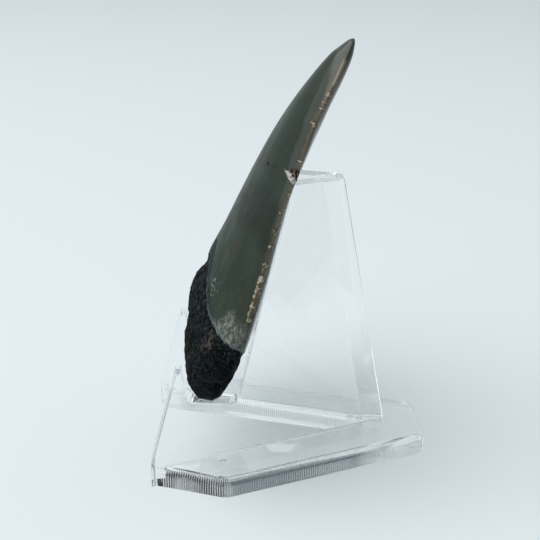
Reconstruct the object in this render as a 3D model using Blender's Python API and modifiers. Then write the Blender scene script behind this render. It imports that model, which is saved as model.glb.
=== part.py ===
"""A fossil megalodon tooth resting on its clear moulded display stand.

Metres, +Z up. The tooth shows its convex inner face towards -Y and leans back, towards +Y, on the
stand. The origin is at the middle of the whole object's footprint, on the surface it stands on.
"""
from math import cos, exp, pi, radians, sin, sqrt, tan

import bmesh
import bpy
from mathutils import Matrix, Vector, noise

# The stand: two upright walls in a V, open at the front, joined at the back
STAND_HEIGHT = 0.070
WALL_ANGLE = radians(21.55)          # of each wall from the middle plane
WALL_LEAN = radians(2.4)             # of each wall's top towards the middle
WALL_THICKNESS = 0.0045
APEX_HALF_WIDTH = 0.0007             # of the back face, where it meets the table
FRONT_Y = -0.0341                    # of the walls' front feet
APEX_Y = 0.0255                      # of the back face, where it meets the table
BACK_LEAN = radians(10.1)            # of the back face, towards the front
REST_LEAN = radians(14.9)            # of the edges that the tooth leans on
REST_TOP_Y = 0.0005                  # of those edges at the stand's top
FRONT_LEAN = radians(15.65)          # of the front edges, towards the back
FRONT_UPRIGHT = 0.0062               # height of the upright foot of the front edges
LIP_TOP = 0.0279
LIP_TOP_LENGTH = 0.0016              # from front to back
NOTCH_BACK_Z = 0.0172                # of the notch's floor, at its back corner
NOTCH_FRONT_Y = -0.0249              # where the floor meets the lip
NOTCH_CORNER_RADIUS = 0.0016
LIP_CORNER_RADIUS = 0.0022

# The foot plate round the outside of the walls
FOOT_THICKNESS = 0.0047
FOOT_REACH = 0.0127                  # sideways, past the walls
FOOT_CORNER_Y = -0.0162              # of its widest place
FOOT_BACK_Y = 0.0341
FOOT_FRONT_CORNER_RADIUS = 0.004
FOOT_BACK_CORNER_RADIUS = 0.0025
FOOT_TOP_ROUNDING = 0.0022
FOOT_ROUNDING_STEPS = 4
FOOT_SETBACK = 0.0008                # of its front ends, inside the walls
FOOT_OVERLAP = (0.9, 0.1)            # and how far those run under the wall, as shares of it
CORNER_STEPS = 5
CUT_MARGIN = 0.003                   # how far raw shapes run below the table before trimming
MERGE_DISTANCE = 0.00001

# The tooth, in its own frame: X across, Y towards its flat outer face, Z along its length
TOOTH_LENGTH = 0.0891
TOOTH_HALF_WIDTH = 0.0340
TOOTH_LEAN = radians(19.5)
TOOTH_LOW_POINT = Vector((0.0, -0.0178, 0.0197))   # of the lobes' ends, in the outer face's plane
ROWS = 54
AROUND = 68
BASE_ARCH = 0.0115                   # height of the hollow between the root's lobes
BASE_SIDE = 0.0085                   # height of the underside at its two outer ends
LOBE_LOW = -0.0015                   # height of the lobes' ends
LOBE_PLACE = 0.56                    # of a lobe's end, as a share of the half width
BOW_TOP = 0.38                       # share of the tooth's length over which the rows level out
BASE_ROUNDING = 0.0062               # height over which the root's underside rounds off
BASE_ROUNDING_CENTRE = 0.72          # where it rounds to, from the inner face at 0 to the outer at 1
BASE_KEEL = 0.03                     # thickness of its lowest line, as a share of the root's
BASE_NARROWING = 0.12                # of its lowest line's width, as a share of the root's
ROOT_TOP = 0.18                      # share of the length up to which the sides are round
CROWN_START = 0.30                   # and from which they are cutting edges
ROUND_SIDE = 0.5                     # powers of the section's swell: an ellipse in the root,
OUTER_SIDE = 0.9                     # and sharper towards the crown's edges
INNER_SIDE = 0.86
OUTER_FLATNESS = 2.0                 # how much flatter than a parabola the crown's outer face is
ROOT_LINE_MIDDLE = 0.0270            # height of the enamel's edge on the inner face, at the middle
ROOT_LINE_SIDE = 0.0165              # and at the sides
ROOT_LINE_OUTER = 0.0160             # and on the outer face
ROOT_LINE_SPREAD = 0.36              # half width of its peak, as a share of the half width
ENAMEL_STEP = 0.0003                 # how far the enamel stands above the root
LEDGE_WIDTH = 0.0014                 # over which it does so
ROOT_LUMPS = ((0.0075, 0.0004), (0.0032, 0.00022))   # size and height of the root's lumps
CHIP_HEIGHT = 0.0605                 # of the chip in the +X cutting edge
CHIP_LENGTH = 0.0022
CHIP_DEPTH = 0.0012
CHIP_REACH = 0.9                     # share of the half width where it starts

# Height along the tooth, and the half width there as a share of the greatest
WIDTH_PROFILE = (
    (0.000, 0.90), (0.006, 0.975), (0.012, 1.00), (0.018, 0.99), (0.025, 0.945), (0.035, 0.84),
    (0.048, 0.665), (0.060, 0.495), (0.072, 0.320), (0.081, 0.180), (0.086, 0.095), (0.0891, 0.018),
)
# Height along the tooth, and how far its outer face lies behind that face's plane
OUTER_PROFILE = (
    (0.000, 0.0012), (0.010, 0.0022), (0.018, 0.0024), (0.026, 0.0021), (0.036, 0.0013),
    (0.046, 0.0004), (0.0535, 0.0001), (0.060, 0.0008), (0.070, 0.0021), (0.080, 0.0035),
    (0.085, 0.0039), (0.0891, 0.0033),
)
# and the inner face's ridge
INNER_PROFILE = (
    (0.000, -0.0109), (0.010, -0.0120), (0.016, -0.0120), (0.021, -0.0113), (0.028, -0.0120),
    (0.036, -0.0108), (0.045, -0.0098), (0.055, -0.0086), (0.065, -0.0069), (0.075, -0.0043),
    (0.084, -0.0010), (0.088, 0.0015), (0.0891, 0.0024),
)
# and the cutting edges
EDGE_PROFILE = (
    (0.000, -0.0042), (0.012, -0.0024), (0.024, -0.0017), (0.040, -0.0018), (0.050, -0.0018),
    (0.060, -0.0010), (0.070, -0.0003), (0.080, 0.0014), (0.0891, 0.0028),
)

COLLECTION_NAME = "Fossil megalodon tooth on a display stand"


def smooth(low, high, value):
    """0 below low, 1 above high, and an even S between them."""
    t = min(max((value - low) / (high - low), 0.0), 1.0)
    return t * t * (3.0 - 2.0 * t)


def along(profile, height):
    """The smooth curve through a profile's points, read at a height."""
    count = len(profile)
    height = min(max(height, profile[0][0]), profile[-1][0])
    index = 0
    while index < count - 2 and height > profile[index + 1][0]:
        index += 1
    (h0, v0), (h1, v1) = profile[index], profile[index + 1]

    def slope(i):
        low, high = max(i - 1, 0), min(i + 1, count - 1)
        return (profile[high][1] - profile[low][1]) / (profile[high][0] - profile[low][0])

    span = h1 - h0
    t = (height - h0) / span
    return ((2 * t ** 3 - 3 * t ** 2 + 1) * v0 + (t ** 3 - 2 * t ** 2 + t) * span * slope(index)
            + (3 * t ** 2 - 2 * t ** 3) * v1 + (t ** 3 - t ** 2) * span * slope(index + 1))


def rounded(points, radii):
    """A closed outline whose corners are arcs of the given radii, 0 for a plain corner."""
    outline = []
    count = len(points)
    for i, (corner, radius) in enumerate(zip(points, radii)):
        corner = Vector(corner)
        if radius == 0.0:
            outline.append(corner)
            continue
        before = (Vector(points[i - 1]) - corner).normalized()
        after = (Vector(points[(i + 1) % count]) - corner).normalized()
        half = before.angle(after) / 2.0
        middle = corner + (before + after).normalized() * (radius / sin(half))
        start = corner + before * (radius / tan(half)) - middle
        end = corner + after * (radius / tan(half)) - middle
        turn = start.angle(end)
        for step in range(CORNER_STEPS + 1):
            t = step / CORNER_STEPS
            spoke = (start * sin((1.0 - t) * turn) + end * sin(t * turn)) / sin(turn)
            outline.append(middle + spoke)
    return outline


def flat_solid(name, outline, thickness):
    """A plate of an outline, as a mesh centred on its own plane."""
    curve = bpy.data.curves.new(name, "CURVE")
    curve.dimensions = "2D"
    curve.fill_mode = "BOTH"
    curve.extrude = thickness / 2.0
    spline = curve.splines.new("POLY")
    spline.points.add(len(outline) - 1)
    for point, place in zip(spline.points, outline):
        point.co = (place.x, place.y, 0.0, 1.0)
    spline.use_cyclic_u = True
    drawn = bpy.data.objects.new(name + "_outline", curve)
    bpy.context.scene.collection.objects.link(drawn)
    bpy.context.view_layer.update()
    graph = bpy.context.evaluated_depsgraph_get()
    mesh = bpy.data.meshes.new_from_object(drawn.evaluated_get(graph))
    bpy.data.objects.remove(drawn)
    bpy.data.curves.remove(curve)
    shape = bmesh.new()
    shape.from_mesh(mesh)
    bmesh.ops.remove_doubles(shape, verts=shape.verts, dist=MERGE_DISTANCE)
    bmesh.ops.recalc_face_normals(shape, faces=shape.faces)
    shape.to_mesh(mesh)
    shape.free()
    mesh.name = name
    return mesh


def add_object(name, mesh, collection, material=None):
    """An object of a mesh, in a collection."""
    thing = bpy.data.objects.new(name, mesh)
    collection.objects.link(thing)
    if material is not None:
        mesh.materials.clear()
        mesh.materials.append(material)
    return thing


def ground_cutter(collection):
    """A hidden block below the table's surface, which trims the stand's underside flat."""
    size = 4.0 * STAND_HEIGHT
    bpy.ops.mesh.primitive_cube_add(size=size, location=(0.0, 0.0, -size / 2.0))
    cutter = bpy.context.object
    cutter.name = "below_the_table_top"
    for owner in list(cutter.users_collection):
        owner.objects.unlink(cutter)
    collection.objects.link(cutter)
    cutter.hide_render = True
    cutter.display_type = "WIRE"
    return cutter


def boolean(thing, other, operation):
    """Joins or cuts an object with another."""
    step = thing.modifiers.new(other.name, "BOOLEAN")
    step.operation = operation
    step.solver = "EXACT"
    step.object = other


def plastic_material():
    """The stand's clear plastic."""
    material = bpy.data.materials.new("clear_plastic")
    material.use_nodes = True
    shader = material.node_tree.nodes["Principled BSDF"]
    shader.inputs["Base Color"].default_value = (0.86, 0.90, 0.91, 1.0)
    shader.inputs["Roughness"].default_value = 0.05
    shader.inputs["Metallic"].default_value = 0.0
    shader.inputs["Transmission Weight"].default_value = 1.0
    shader.inputs["IOR"].default_value = 1.49
    return material


def tooth_material():
    """The fossil's dark grey-green enamel."""
    material = bpy.data.materials.new("fossil_enamel")
    material.use_nodes = True
    shader = material.node_tree.nodes["Principled BSDF"]
    shader.inputs["Base Color"].default_value = (0.045, 0.055, 0.050, 1.0)
    shader.inputs["Roughness"].default_value = 0.38
    shader.inputs["Metallic"].default_value = 0.0
    return material


def wall_outline():
    """One wall's side view: x is Y, y is height."""
    notch_back_y = REST_TOP_Y - (STAND_HEIGHT - NOTCH_BACK_Z) * tan(REST_LEAN)
    notch_rise = (notch_back_y - NOTCH_FRONT_Y) * tan(REST_LEAN)
    lip_front_y = FRONT_Y + (LIP_TOP - FRONT_UPRIGHT) * tan(FRONT_LEAN)
    side = (
        (APEX_Y + CUT_MARGIN * tan(BACK_LEAN), -CUT_MARGIN),
        (APEX_Y - STAND_HEIGHT * tan(BACK_LEAN), STAND_HEIGHT),
        (REST_TOP_Y, STAND_HEIGHT),
        (notch_back_y, NOTCH_BACK_Z),
        (NOTCH_FRONT_Y, NOTCH_BACK_Z + notch_rise),
        (lip_front_y + LIP_TOP_LENGTH, LIP_TOP),
        (lip_front_y, LIP_TOP),
        (FRONT_Y, FRONT_UPRIGHT),
        (FRONT_Y, -CUT_MARGIN),
    )
    radii = (0.0, 0.0, 0.0, NOTCH_CORNER_RADIUS, LIP_CORNER_RADIUS, 0.0, 0.0, 0.0, 0.0)
    return rounded(side, radii)


def foot_outline():
    """The foot plate's plan. Its inner side runs down the middle of the walls."""
    slope = tan(WALL_ANGLE)
    edge = APEX_HALF_WIDTH + FOOT_REACH
    corner_x = edge + (APEX_Y - FOOT_CORNER_Y) * slope
    back_x = edge + (APEX_Y - FOOT_BACK_Y) * slope
    front_y = FRONT_Y + FOOT_SETBACK
    wall_x = APEX_HALF_WIDTH + (APEX_Y - front_y) * slope
    across_wall = WALL_THICKNESS / cos(WALL_ANGLE)
    joint_y = APEX_Y - (across_wall / 2.0 - APEX_HALF_WIDTH) / slope
    right = (
        (wall_x - FOOT_OVERLAP[0] * across_wall, front_y, 0.0),
        (wall_x - FOOT_OVERLAP[1] * across_wall, front_y, 0.0),
        (corner_x, FOOT_CORNER_Y, FOOT_FRONT_CORNER_RADIUS),
        (back_x, FOOT_BACK_Y, FOOT_BACK_CORNER_RADIUS),
    )
    left = tuple((-x, y, radius) for x, y, radius in reversed(right))
    corners = right + left + ((0.0, joint_y, 0.0),)
    return rounded([(x, y) for x, y, radius in corners], [radius for x, y, radius in corners])


def build_foot(cutters):
    """The foot plate, with its outer top edge rounded."""
    mesh = flat_solid("foot_plate", foot_outline(), FOOT_THICKNESS + CUT_MARGIN)
    mesh.transform(Matrix.Translation((0.0, 0.0, (FOOT_THICKNESS - CUT_MARGIN) / 2.0)))
    weight = mesh.attributes.new("bevel_weight_edge", "FLOAT", "EDGE")
    for edge in mesh.edges:
        start, end = (mesh.vertices[index].co for index in edge.vertices)
        middle = (start + end) / 2.0
        at_top = min(start.z, end.z) > FOOT_THICKNESS - MERGE_DISTANCE
        wall_x = APEX_HALF_WIDTH + (APEX_Y - middle.y) * tan(WALL_ANGLE)
        weight.data[edge.index].value = 1.0 if at_top and abs(middle.x) > wall_x else 0.0
    foot = add_object("foot_plate", mesh, cutters)
    edge_round = foot.modifiers.new("rounded_top", "BEVEL")
    edge_round.limit_method = "WEIGHT"
    edge_round.width = FOOT_TOP_ROUNDING
    edge_round.segments = FOOT_ROUNDING_STEPS
    foot.hide_render = True
    foot.display_type = "WIRE"
    return foot


def build_stand(parts, cutters):
    """The stand: one slanted wall mirrored, joined to the foot plate, and trimmed flat below."""
    across_wall = WALL_THICKNESS / cos(WALL_ANGLE)
    mesh = flat_solid("display_stand", wall_outline(), across_wall)
    upright = Matrix(((0.0, 0.0, 1.0, -across_wall / 2.0), (1.0, 0.0, 0.0, 0.0),
                      (0.0, 1.0, 0.0, 0.0), (0.0, 0.0, 0.0, 1.0)))
    slant = Matrix.Identity(4)
    slant[0][1] = -tan(WALL_ANGLE)
    slant[0][2] = -tan(WALL_LEAN)
    slant[0][3] = APEX_HALF_WIDTH + APEX_Y * tan(WALL_ANGLE)
    mesh.transform(slant @ upright)
    stand = add_object("display_stand", mesh, parts, plastic_material())
    mirror = stand.modifiers.new("other_wall", "MIRROR")
    mirror.use_bisect_axis[0] = True
    mirror.use_clip = True
    mirror.merge_threshold = MERGE_DISTANCE
    boolean(stand, build_foot(cutters), "UNION")
    boolean(stand, ground_cutter(cutters), "DIFFERENCE")


def root_line(across, outer):
    """Height of the enamel's lower edge, at a place across the tooth from -1 to 1."""
    if outer:
        return ROOT_LINE_OUTER
    drop = 1.0 - exp(-(across / ROOT_LINE_SPREAD) ** 2)
    return ROOT_LINE_MIDDLE - (ROOT_LINE_MIDDLE - ROOT_LINE_SIDE) * drop


def base_height(across):
    """Height of the root's underside: an arch between the two lobes, and a rise outside them."""
    away = abs(across)
    if away < LOBE_PLACE:
        return LOBE_LOW + (BASE_ARCH - LOBE_LOW) * (1.0 + cos(pi * away / LOBE_PLACE)) / 2.0
    return LOBE_LOW + (BASE_SIDE - LOBE_LOW) * ((away - LOBE_PLACE) / (1.0 - LOBE_PLACE)) ** 2


def row_height(rise, across):
    """Height of a row at a place across: bowed round the two lobes below, level in the crown."""
    return rise * TOOTH_LENGTH + base_height(across) * (1.0 - smooth(0.0, BOW_TOP, rise))


def tooth_point(rise, angle):
    """A place on the tooth's skin: rise runs from the root's underside at 0 to the tip at 1."""
    across = cos(angle)
    outer = sin(angle) >= 0.0
    height = row_height(rise, across)
    level = min(max(height, 0.0), TOOTH_LENGTH)
    crown = smooth(ROOT_TOP, CROWN_START, rise)
    if outer:
        swell = 1.0 - abs(across) ** (2.0 + OUTER_FLATNESS * crown)
        swell = swell ** (ROUND_SIDE + (OUTER_SIDE - ROUND_SIDE) * crown)
    else:
        swell = (1.0 - across ** 2) ** (ROUND_SIDE + (INNER_SIDE - ROUND_SIDE) * crown)
    edge = along(EDGE_PROFILE, level)
    outer_face = along(OUTER_PROFILE, level)
    inner_face = along(INNER_PROFILE, level)
    depth = edge + ((outer_face if outer else inner_face) - edge) * swell
    low = min(rise * TOOTH_LENGTH / BASE_ROUNDING, 1.0)
    fill = BASE_KEEL + (1.0 - BASE_KEEL) * sqrt(max(1.0 - (1.0 - low) ** 2, 0.0))
    centre = inner_face + (outer_face - inner_face) * BASE_ROUNDING_CENTRE
    depth = centre + (depth - centre) * fill
    half_width = TOOTH_HALF_WIDTH * along(WIDTH_PROFILE, rise * TOOTH_LENGTH)
    half_width *= 1.0 - BASE_NARROWING * (1.0 - fill)
    if across > 0.0:
        chip = exp(-((level - CHIP_HEIGHT) / CHIP_LENGTH) ** 4)
        half_width -= CHIP_DEPTH * chip * smooth(CHIP_REACH, 1.0, across)
    return Vector((half_width * across, depth, height)), across, outer


def rough_root(place, away, across, outer):
    """Moves a place on the root in by the enamel's step, and in or out by the root's lumps."""
    below = 1.0 - smooth(0.0, LEDGE_WIDTH, place.z - root_line(across, outer))
    shift = -ENAMEL_STEP
    for size, height in ROOT_LUMPS:
        shift += height * noise.noise(place / size)
    return place + away * (shift * below)


def build_tooth(parts):
    """The tooth, one solid lofted through rings that run round it from the root to the tip."""
    shape = bmesh.new()
    facts = []
    rings = []
    for row in range(ROWS + 1):
        ring = []
        for step in range(AROUND):
            place, across, outer = tooth_point(row / ROWS, 2.0 * pi * step / AROUND)
            ring.append(shape.verts.new(place))
            facts.append((across, outer))
        rings.append(ring)
    for low, high in zip(rings, rings[1:]):
        for step in range(AROUND):
            other = (step + 1) % AROUND
            shape.faces.new((low[step], low[other], high[other], high[step]))
    for ring in (rings[0], rings[-1]):
        for step in range(AROUND // 2):
            corners = (ring[step], ring[step + 1], ring[AROUND - step - 1],
                       ring[(AROUND - step) % AROUND])
            shape.faces.new(tuple(dict.fromkeys(corners)))
    bmesh.ops.recalc_face_normals(shape, faces=shape.faces)
    shape.normal_update()
    moved = [rough_root(vert.co, vert.normal, *fact) for vert, fact in zip(shape.verts, facts)]
    for vert, place in zip(shape.verts, moved):
        vert.co = place
    mesh = bpy.data.meshes.new("fossil_tooth")
    shape.to_mesh(mesh)
    shape.free()
    mesh.shade_smooth()
    mesh.transform(Matrix.Translation(TOOTH_LOW_POINT) @ Matrix.Rotation(-TOOTH_LEAN, 4, "X"))
    add_object("fossil_tooth", mesh, parts, tooth_material())


for old in list(bpy.data.objects):
    bpy.data.objects.remove(old)
part_collection = bpy.data.collections.new(COLLECTION_NAME)
cutter_collection = bpy.data.collections.new("Cutters")
for collection in (part_collection, cutter_collection):
    bpy.context.scene.collection.children.link(collection)
build_stand(part_collection, cutter_collection)
build_tooth(part_collection)
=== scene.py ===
"""A fossil megalodon tooth resting on its clear moulded display stand, built round its CAD frame.

Metres, +Z up. The tooth shows its convex inner face towards -Y and leans back, towards +Y.
"""
from math import cos, exp, hypot, pi, radians, sin, sqrt, tan

import bmesh
import bpy
from mathutils import Matrix, Vector, noise


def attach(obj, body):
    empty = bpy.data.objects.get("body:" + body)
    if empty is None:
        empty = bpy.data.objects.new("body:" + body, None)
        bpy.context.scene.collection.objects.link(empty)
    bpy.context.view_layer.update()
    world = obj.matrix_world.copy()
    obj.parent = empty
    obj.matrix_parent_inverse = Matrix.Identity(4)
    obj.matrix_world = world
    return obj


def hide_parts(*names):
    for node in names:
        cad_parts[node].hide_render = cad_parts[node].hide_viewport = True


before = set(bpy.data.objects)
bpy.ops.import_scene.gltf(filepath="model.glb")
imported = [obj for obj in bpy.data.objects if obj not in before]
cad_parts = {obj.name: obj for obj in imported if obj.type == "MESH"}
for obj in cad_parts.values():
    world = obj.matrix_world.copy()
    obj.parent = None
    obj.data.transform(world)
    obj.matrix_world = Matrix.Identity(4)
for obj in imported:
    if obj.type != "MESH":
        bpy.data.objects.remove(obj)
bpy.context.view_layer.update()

# The display stand's two walls
# One piece of clear plastic, moulded with the foot plate: two upright walls in a V, joined at the
# back, each with a notch for a lobe of the root. The mould leaves every edge slightly rounded.
STAND_HEIGHT = 0.070
WALL_ANGLE = radians(21.55)
WALL_LEAN = radians(2.4)
WALL_THICKNESS = 0.0045
APEX_HALF_WIDTH = 0.0007
FRONT_Y = -0.0341
APEX_Y = 0.0255
BACK_LEAN = radians(10.1)
REST_LEAN = radians(14.9)
REST_TOP_Y = 0.0005
FRONT_LEAN = radians(15.65)
FRONT_UPRIGHT = 0.0062
LIP_TOP = 0.0279
LIP_TOP_LENGTH = 0.0016
NOTCH_BACK_Z = 0.0172
NOTCH_FRONT_Y = -0.0249
NOTCH_CORNER_RADIUS = 0.0016
LIP_CORNER_RADIUS = 0.0022
EDGE_ROUNDING = 0.00028
SLOT_ANGLE = radians(19.46)
SLOT_END_Y = 0.0208
SLOT_END_HALF_WIDTH = 0.0004
# width and depth of the slot's end block, in its half widths
SLOT_END_WIDTHS = 1.5
SLOT_END_DEPTHS = 7.0
BELOW_TABLE = 0.003
FOLD = radians(40.0)
ARC_STEP = 0.0002
LEAST_ARC_STEPS = 5


def rounded(points, radii, step_length):
    """A closed outline whose corners are arcs of the given radii, in steps of about one length."""
    outline = []
    count = len(points)
    for i, (corner, radius) in enumerate(zip(points, radii)):
        corner = Vector(corner)
        if radius == 0.0:
            outline.append(corner)
            continue
        before = (Vector(points[i - 1]) - corner).normalized()
        after = (Vector(points[(i + 1) % count]) - corner).normalized()
        half = before.angle(after) / 2.0
        middle = corner + (before + after).normalized() * (radius / sin(half))
        start = corner + before * (radius / tan(half)) - middle
        end = corner + after * (radius / tan(half)) - middle
        turn = start.angle(end)
        steps = max(int(radius * turn / step_length), LEAST_ARC_STEPS)
        for step in range(steps + 1):
            t = step / steps
            spoke = (start * sin((1.0 - t) * turn) + end * sin(t * turn)) / sin(turn)
            outline.append(middle + spoke)
    return outline


def prism(name, rows):
    """A closed mesh through rings of points, with a flat cap at each end."""
    shape = bmesh.new()
    rings = [[shape.verts.new(place) for place in row] for row in rows]
    for low, high in zip(rings, rings[1:]):
        for i in range(len(low)):
            j = (i + 1) % len(low)
            shape.faces.new((low[i], low[j], high[j], high[i]))
    shape.faces.new(tuple(reversed(rings[0])))
    shape.faces.new(rings[-1])
    bmesh.ops.recalc_face_normals(shape, faces=shape.faces)
    mesh = bpy.data.meshes.new(name)
    shape.to_mesh(mesh)
    shape.free()
    thing = bpy.data.objects.new(name, mesh)
    bpy.context.scene.collection.objects.link(thing)
    return thing


def baked(thing):
    """Applies an object's modifiers to its mesh."""
    bpy.context.view_layer.update()
    graph = bpy.context.evaluated_depsgraph_get()
    mesh = bpy.data.meshes.new_from_object(thing.evaluated_get(graph))
    thing.modifiers.clear()
    thing.data = mesh


def combined(thing, other, operation):
    """Joins or cuts an object with another, which is then gone."""
    step = thing.modifiers.new(operation, "BOOLEAN")
    step.operation = operation
    step.solver = "EXACT"
    step.object = other
    baked(thing)
    bpy.data.objects.remove(other)


across_wall = WALL_THICKNESS / cos(WALL_ANGLE)
notch_back_y = REST_TOP_Y - (STAND_HEIGHT - NOTCH_BACK_Z) * tan(REST_LEAN)
notch_rise = (notch_back_y - NOTCH_FRONT_Y) * tan(REST_LEAN)
lip_front_y = FRONT_Y + (LIP_TOP - FRONT_UPRIGHT) * tan(FRONT_LEAN)
wall_side = rounded(
    (
        (APEX_Y + BELOW_TABLE * tan(BACK_LEAN), -BELOW_TABLE),
        (APEX_Y - STAND_HEIGHT * tan(BACK_LEAN), STAND_HEIGHT),
        (REST_TOP_Y, STAND_HEIGHT),
        (notch_back_y, NOTCH_BACK_Z),
        (NOTCH_FRONT_Y, NOTCH_BACK_Z + notch_rise),
        (lip_front_y + LIP_TOP_LENGTH, LIP_TOP),
        (lip_front_y, LIP_TOP),
        (FRONT_Y, FRONT_UPRIGHT),
        (FRONT_Y, -BELOW_TABLE),
    ),
    (0.0, 0.0, 0.0, NOTCH_CORNER_RADIUS, LIP_CORNER_RADIUS, 0.0, 0.0, 0.0, 0.0), ARC_STEP)


def wall_x(y, z, depth):
    """Distance of a place in a wall from the middle plane: depth 0 is its outer face."""
    return APEX_HALF_WIDTH + (APEX_Y - y) * tan(WALL_ANGLE) - z * tan(WALL_LEAN) - depth * across_wall


def slot_x(y, z):
    """Distance of a wall's inner face from the middle plane. The two meet along the back edge's lean."""
    return (SLOT_END_Y - z * tan(BACK_LEAN) - y) * tan(SLOT_ANGLE)


stand = prism("moulded_stand", [[(slot_x(y, z), y, z) for y, z in wall_side],
                                [(wall_x(y, z, 0.0), y, z) for y, z in wall_side]])
mirror = stand.modifiers.new("other_wall", "MIRROR")
mirror.use_bisect_axis[0] = True
mirror.use_clip = True
edge_round = stand.modifiers.new("rounded_edges", "BEVEL")
edge_round.limit_method = "ANGLE"
edge_round.angle_limit = FOLD
edge_round.width = EDGE_ROUNDING
edge_round.segments = 3
baked(stand)
# the slot between the walls ends in a narrow flat instead of a knife edge
slot_end = []
for z in (-BELOW_TABLE, STAND_HEIGHT - EDGE_ROUNDING):
    y = SLOT_END_Y - z * tan(BACK_LEAN) - SLOT_END_HALF_WIDTH / tan(SLOT_ANGLE)
    slot_end.append([(x * SLOT_END_WIDTHS * SLOT_END_HALF_WIDTH,
                      y + deep * SLOT_END_DEPTHS * SLOT_END_HALF_WIDTH, z)
                     for x, deep in ((-1, 0), (1, 0), (1, 1), (-1, 1))])
combined(stand, prism("slot_end", slot_end), "UNION")

# The display stand's foot plate
# Moulded with the walls, so that the stand stands on one flat underside. Its outer edge is rounded
# on top and has fine upright ribs round its front half, and a moulding gate left a low nub on it.
FOOT_THICKNESS = 0.0047
FOOT_REACH = 0.0127
FOOT_CORNER_Y = -0.0162
FOOT_BACK_Y = 0.0341
FOOT_FRONT_CORNER_RADIUS = 0.004
FOOT_BACK_CORNER_RADIUS = 0.0025
FOOT_TOP_ROUNDING = 0.0022
FOOT_SETBACK = 0.0008
FOOT_OVERLAP = (0.9, 0.1)
RIB_PITCH = 0.00060
RIB_DEPTH = 0.00020
STEPS_PER_RIB = 8
ROUNDING_STEPS = 7
# how far along the edge from the front the ribs begin and are full, and are still full and end
RIBS_BEGIN = (0.001, 0.008)
RIBS_END = (0.052, 0.070)
FILLET_RADIUS = 0.0007
FILLET_STEPS = 6
FILLET_SINK = 0.00002
GATE_PLACE = (0.0197, -0.01715)
GATE_RADIUS = 0.0013
GATE_HEIGHT = 0.00025
GATE_RINGS = (0.97, 0.8, 0.6, 0.4, 0.15)
GATE_STEPS = 40


def smooth(low, high, value):
    """0 below low, 1 above high, and an even S between them."""
    t = min(max((value - low) / (high - low), 0.0), 1.0)
    return t * t * (3.0 - 2.0 * t)


def foot_corners():
    """The corners of the foot plate's right side, from the wall's front foot to the back's middle."""
    slope = tan(WALL_ANGLE)
    edge = APEX_HALF_WIDTH + FOOT_REACH
    front_y = FRONT_Y + FOOT_SETBACK
    front_x = wall_x(front_y, 0.0, 0.0)
    return (
        (front_x - FOOT_OVERLAP[1] * across_wall, front_y),
        (edge + (APEX_Y - FOOT_CORNER_Y) * slope, FOOT_CORNER_Y),
        (edge + (APEX_Y - FOOT_BACK_Y) * slope, FOOT_BACK_Y),
        (0.0, FOOT_BACK_Y),
    )


def inside_line(start, end, place):
    """How far a place is to the left of the line from a start to an end."""
    run = Vector(end) - Vector(start)
    return (run.x * (place[1] - start[1]) - run.y * (place[0] - start[0])) / run.length


def foot_side():
    """The foot plate's right side, closely stepped for its ribs."""
    path = rounded(foot_corners(), (0.0, FOOT_FRONT_CORNER_RADIUS, FOOT_BACK_CORNER_RADIUS, 0.0),
                   RIB_PITCH / STEPS_PER_RIB)
    step = RIB_PITCH / STEPS_PER_RIB
    side = [path[0]]
    for start, end in zip(path, path[1:]):
        count = max(round((end - start).length / step), 1)
        side += [start.lerp(end, (i + 1) / count) for i in range(count)]
    return side


def foot_plate():
    """The foot plate, ribbed and rounded round its outside. Its inner side is inside the walls."""
    side = foot_side()
    walked = 0.0
    ribbed = []
    for i, place in enumerate(side):
        walked += (place - side[max(i - 1, 0)]).length
        run = side[min(i + 1, len(side) - 1)] - side[max(i - 1, 0)]
        inward = Vector((-run.y, run.x)).normalized()
        rib = RIB_DEPTH * (1.0 - cos(2.0 * pi * walked / RIB_PITCH)) / 2.0
        rib *= smooth(*RIBS_BEGIN, walked) * (1.0 - smooth(*RIBS_END, walked))
        ribbed.append((place, inward, rib if i < len(side) - STEPS_PER_RIB else 0.0))
    front_y = FRONT_Y + FOOT_SETBACK
    joint_y = APEX_Y - (across_wall / 2.0 - APEX_HALF_WIDTH) / tan(WALL_ANGLE)
    hidden = [Vector((wall_x(front_y, 0.0, FOOT_OVERLAP[0]), front_y))]
    profile = [(0.0, -BELOW_TABLE, 1.0), (0.0, FOOT_THICKNESS - FOOT_TOP_ROUNDING, 1.0)]
    for step in range(1, ROUNDING_STEPS + 1):
        turn = pi / 2.0 * step / ROUNDING_STEPS
        profile.append((FOOT_TOP_ROUNDING * (1.0 - cos(turn)),
                        FOOT_THICKNESS - FOOT_TOP_ROUNDING * (1.0 - sin(turn)),
                        1.0 - (step / ROUNDING_STEPS) ** 3))
    rows = []
    for inset, z, strength in profile:
        right = [place + inward * (inset + rib * strength) for place, inward, rib in ribbed]
        right[-1].x = 0.0
        right = hidden + right
        left = [Vector((-place.x, place.y)) for place in reversed(right[:-1])]
        rows.append([(place.x, place.y, z) for place in right + left + [Vector((0.0, joint_y))]])
    return prism("foot_plate", rows)


def turned(name, place, profile, steps):
    """A solid turned round an upright axis through a place, from radius and height pairs."""
    turns = [2.0 * pi * i / steps for i in range(steps)]
    return prism(name, [[(place[0] + radius * cos(turn), place[1] + radius * sin(turn), z)
                         for turn in turns] for radius, z in profile])


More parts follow.
